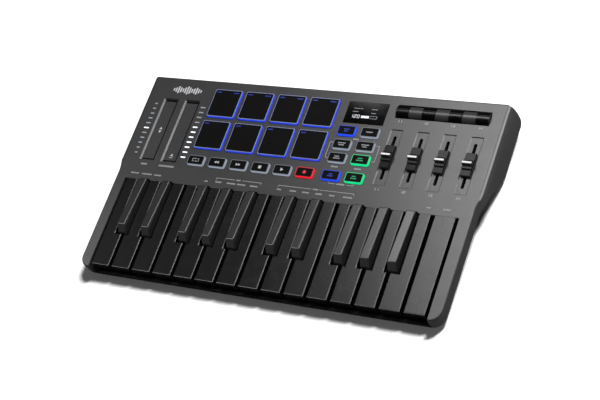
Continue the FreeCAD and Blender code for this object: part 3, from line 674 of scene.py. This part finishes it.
CHANNEL_LABELS_Y = (156.5, 95.4)
LABEL_BAR_MIDDLE = (-1.3, 1.0)          # from the middle of the channel and the label's foot
LABEL_BAR = (0.5, 2.0)
LABEL_DIGIT_CORNER = (-0.2, 0.2)
LABEL_DIGIT = (1.3, 1.7)
LABEL_LINE = 0.42
STRIP_LETTERS = (0.6, 0.4, 1.6)
LETTERS = (0.6, 0.4, 1.25)
# Rows of printed words: the row's y, its letters, and the left and right end of each word.
WORD_ROWS = (
    # under the touch strips
    (95.4, STRIP_LETTERS, ((-141.3, -135.2), (-123.4, -108.4))),
    # above the keys, at both sides
    (86.2, LETTERS, ((-147.3, -139.3), (-136.3, -126.8), (-123.8, -116.8), (-74.3, -71.3))),
    (86.2, LETTERS, ((122.6, 126.5), (136.5, 142.5))),
    # above the keys, a heading over each of two groups
    (90.2, LETTERS, ((-45.5, -41.2),)),
    (86.6, LETTERS, ((-64.2, -58.2), (-53.2, -45.4), (-43.6, -36.0), (-31.4, -24.8))),
    (90.2, LETTERS, ((24.4, 28.8),)),
    (86.6, LETTERS, ((-6.6, -2.4), (5.0, 10.8), (16.4, 22.0), (28.0, 33.4), (40.2, 45.0),
                     (52.4, 60.2))),
    # between the function buttons
    (137.9, LETTERS, ((43.4, 48.6),)),
    (111.9, LETTERS, ((32.9, 38.4), (53.2, 58.6))),
    (97.0, LETTERS, ((43.0, 50.2),)),
)
BRACKET_LINE = 0.35
# Brackets that join the words of a group to its heading, and pairs of function buttons.
BRACKETS = (
    ((-64.35, 88.6), (-64.35, 90.2), (-47.0, 90.2)),
    ((-39.8, 90.2), (-22.35, 90.2), (-22.35, 88.6)),
    ((-6.35, 88.6), (-6.35, 90.2), (22.8, 90.2)),
    ((30.4, 90.2), (60.65, 90.2), (60.65, 88.6)),
    ((27.2, 133.5), (24.6, 133.5), (24.6, 119.5), (27.2, 119.5)),
    ((65.4, 133.5), (68.0, 133.5), (68.0, 119.5), (65.4, 119.5)),
    ((35.9, 98.4), (35.9, 97.0), (41.6, 97.0)),
    ((51.6, 97.0), (57.4, 97.0), (57.4, 98.4)),
)


def channel_label(solids, x, y, number):
    """A bar and a digit, under a roller or a fader."""
    middle = (x + LABEL_BAR_MIDDLE[0], y + LABEL_BAR_MIDDLE[1])
    solids.plate(middle, LABEL_BAR, BAR_CORNER, *PANEL_INK, BAR_EDGE)
    corner = (x + LABEL_DIGIT_CORNER[0], y + LABEL_DIGIT_CORNER[1])
    digit(solids, str(number), corner, LABEL_DIGIT, LABEL_LINE, PANEL_INK)


def make_panel_print():
    ink = Solids()
    for i in range(CHANNELS):
        for y in CHANNEL_LABELS_Y:
            channel_label(ink, channel_x(i), y, i + 1)
    for y, letters, spans in WORD_ROWS:
        for left, right in spans:
            tick_word(ink, left, y, right - left, letters, PANEL_INK)
    for bracket in BRACKETS:
        ink.path(bracket, BRACKET_LINE, *PANEL_INK)
    ink.piece("panel_print", "print_grey", "case", "print_white")


WAVE_HEIGHTS = (2.6, 4.4, 7.0, 5.2, 3.4, 5.8, 8.0, 6.2, 3.8, 5.0, 6.8, 4.2, 2.6)
WAVE_FIRST = (-139.0, 169.0)
WAVE_PITCH = 2.25
WAVE_BAR = 1.5
WAVE_CORNER = 0.5


def make_wave_mark():
    """A plain sound-wave mark in the corner of the panel."""
    mark = Solids()
    for i, height in enumerate(WAVE_HEIGHTS):
        middle = (WAVE_FIRST[0] + i * WAVE_PITCH, WAVE_FIRST[1])
        mark.plate(middle, (WAVE_BAR, height), WAVE_CORNER, *PANEL_INK, BAR_EDGE)
    mark.piece("wave_mark", "print_white", "case", "print_white")


# ------------------------------------------------------------------ display
DISPLAY_TOP = -0.1
DISPLAY_INK = (DISPLAY_TOP - SUNK, DISPLAY_TOP + INK)
DISPLAY_LETTERS = (0.35, 0.55, 0.7)
# status words: left end, y and length
DISPLAY_WORDS = ((35.0, 165.9, 8.0), (50.5, 165.9, 5.5), (34.5, 162.9, 5.0), (51.0, 162.4, 4.0))
LEVEL_FRAME = ((50.6, 159.7), (57.0, 159.7), (57.0, 157.5), (50.6, 157.5))
LEVEL_FRAME_LINE = 0.2
LEVEL_BAR_MIDDLE = (46.6, 158.6)
LEVEL_BAR = (7.0, 2.1)
LEVEL_BAR_CORNER = 0.2
TEMPO = "120"
TEMPO_CORNER = (34.0, 157.3)
TEMPO_PITCH = 2.9
TEMPO_DIGIT = (1.7, 2.7)
TEMPO_LINE = 0.4


def make_display_picture():
    """A plain tempo read-out: small status bars above, three digits and a level bar below."""
    small = Solids()
    for left, y, length in DISPLAY_WORDS:
        tick_word(small, left, y, length, DISPLAY_LETTERS, DISPLAY_INK)
    small.path(LEVEL_FRAME, LEVEL_FRAME_LINE, *DISPLAY_INK)
    small.piece("display_words", "light_soft", "case", "light_white")
    large = Solids()
    for i, character in enumerate(TEMPO):
        corner = (TEMPO_CORNER[0] + i * TEMPO_PITCH, TEMPO_CORNER[1])
        digit(large, character, corner, TEMPO_DIGIT, TEMPO_LINE, DISPLAY_INK)
    large.plate(LEVEL_BAR_MIDDLE, LEVEL_BAR, LEVEL_BAR_CORNER, *DISPLAY_INK)
    large.piece("display_picture", "light_mid", "case", "light_white")


# ------------------------------------------------------------------ fader lines
FADER_MID_Y = 124.8
FADER_LINE = (7.7, 1.5)
FADER_LINE_CORNER = 0.3
FADER_LINE_EDGE = 0.08
FADER_RIDGE = 5.6
FADER_LINE_Z = (FADER_RIDGE - 0.05, FADER_RIDGE + 0.1)


def make_fader_lines():
    """The white line across the ridge of each fader cap."""
    for i in range(CHANNELS):
        middle = (channel_x(i), FADER_MID_Y)
        line = Solids().plate(middle, FADER_LINE, FADER_LINE_CORNER, *FADER_LINE_Z,
                              FADER_LINE_EDGE)
        line.piece(f"fader_line_{i + 1}", "print_white", f"fader_cap_{i + 1}", "print_white")


make_pad_faces()
make_transport_buttons()
make_function_buttons()
make_strip_lights()
make_strip_icons()
make_panel_print()
make_wave_mark()
make_display_picture()
make_fader_lines()

# ------------------------------------------------------------------ floor, light and finish
FLOOR_HALF = 4.0               # metres
FLOOR_DROP = -0.2 * MM
FLOOR_PATCH_MM = 400.0
FLOOR_TONES = ((0.86, 0.86, 0.86), (0.88, 0.88, 0.88))
FLOOR_ROUGH = 0.9
FLOOR_SPECULAR = 0.1


def make_floor():
    """A plain pale floor that the keyboard's own faces do not mirror, so that they stay dark."""
    half = FLOOR_HALF
    mesh = bpy.data.meshes.new("floor")
    corners = [(x, y, FLOOR_DROP) for x, y in ((-half, -half), (half, -half), (half, half),
                                               (-half, half))]
    mesh.from_pydata(corners, [], [(0, 1, 2, 3)])
    material, tree, shader = node_material("floor")
    tint(tree, shader, noise(tree, FLOOR_PATCH_MM), *FLOOR_TONES)
    shader.inputs["Roughness"].default_value = FLOOR_ROUGH
    shader.inputs["Specular IOR Level"].default_value = FLOOR_SPECULAR
    mesh.materials.append(material)
    floor = bpy.data.objects.new("floor", mesh)
    bpy.context.scene.collection.objects.link(floor)
    floor.visible_glossy = False
    return floor


WORLD_STRENGTH = 0.03
MIDDLE = (0, 90, 0)
# Soft boxes in the panel frame: name, place, target, size, radiance, the group of pieces that
# each one lights, and its turn about its own axis in degrees.
SOFT_BOXES = (
    ("floor_key", (850, 1150, 1914), MIDDLE, (450, 650), 92, "ground", 0),
    ("floor_fill", (300, -1500, 900), MIDDLE, (400, 400), 9, "ground", 0),
    ("softbox", (-105, 650, 1074), MIDDLE, (650, 600), 6.4, "body", 0),
    ("fader_softbox", (-105, 650, 1074), MIDDLE, (650, 600), 1.6, "faders", 0),
    ("left_keys", (-1150, 400, 1074), MIDDLE, (350, 500), 0.4, "keys", 0),
    ("left_shell", (-1150, 330, 1074), MIDDLE, (350, 420), 4.6, "shell", 0),
    ("shell_side", (825, 557, 471), MIDDLE, (200, 520), 12, "shell", 0),
    ("shell_edge", (561, 587, 848), MIDDLE, (300, 500), 6.4, "shell", 0),
    ("shell_low", (330, 200, -38), (330, 322, 954), (300, 300), 0.15, "shell", 0),
    ("key_side", (737, 412, 730), MIDDLE, (220, 550), 14, "keys", 0),
    ("key_front", (-655, -650, 905), MIDDLE, (680, 600), 6.5, "keys", 0),
    ("fader_card", (150, -900, 1100), (110, 125, 0), (400, 300), 60, "faders", 0),
    ("display_glint", (-590, 815, 1074), (45, 165, 0), (30, 60), 4, "screen", 35),
)


def light_groups(floor):
    """The collections that the soft boxes light, by name."""
    product = [o for o in bpy.context.scene.objects if o.type == "MESH" and o is not floor]
    faders = [o for o in product if o.name.startswith(("fader_cap", "fader_line"))]
    members = {
        "ground": [floor],
        "faders": faders,
        "body": [o for o in product if o not in faders],
        "screen": [frame["nodes"]["display_module"]],
        "keys": [o for o in product if "_key_" in o.name],
        "shell": [frame["nodes"][name] for name in ("top_shell", "touch_strips", "roller_mount",
                                                    "bottom_shell")],
    }
    groups = {}
    for name, objects in members.items():
        groups[name] = bpy.data.collections.new(name)
        for item in objects:
            groups[name].objects.link(item)
    return groups


def area_light(name, at, towards, size, radiance, group, roll):
    """A soft box that lights one collection, at a place of the panel frame."""
    data = bpy.data.lights.new(name, "AREA")
    data.shape = "RECTANGLE"
    data.size, data.size_y = size[0] * MM, size[1] * MM
    data.energy = 4 * radiance * data.size * data.size_y
    light = bpy.data.objects.new(name, data)
    bpy.context.scene.collection.objects.link(light)
    at, towards = place(*at), place(*towards)
    light.location = at
    aim = (towards - at).to_track_quat("-Z", "Y")
    light.rotation_euler = (aim @ Quaternion((0, 0, 1), math.radians(roll))).to_euler()
    light.visible_camera = False
    light.light_linking.receiver_collection = group


def make_world():
    world = bpy.data.worlds.new("studio")
    world.use_nodes = True
    background = world.node_tree.nodes["Background"]
    background.inputs["Color"].default_value = (1, 1, 1, 1)
    background.inputs["Strength"].default_value = WORLD_STRENGTH
    bpy.context.scene.world = world


def make_lights(floor):
    make_world()
    groups = light_groups(floor)
    for name, at, towards, size, radiance, group, roll in SOFT_BOXES:
        area_light(name, at, towards, size, radiance, groups[group], roll)
    bpy.context.scene.view_settings.view_transform = "Standard"


make_lights(make_floor())
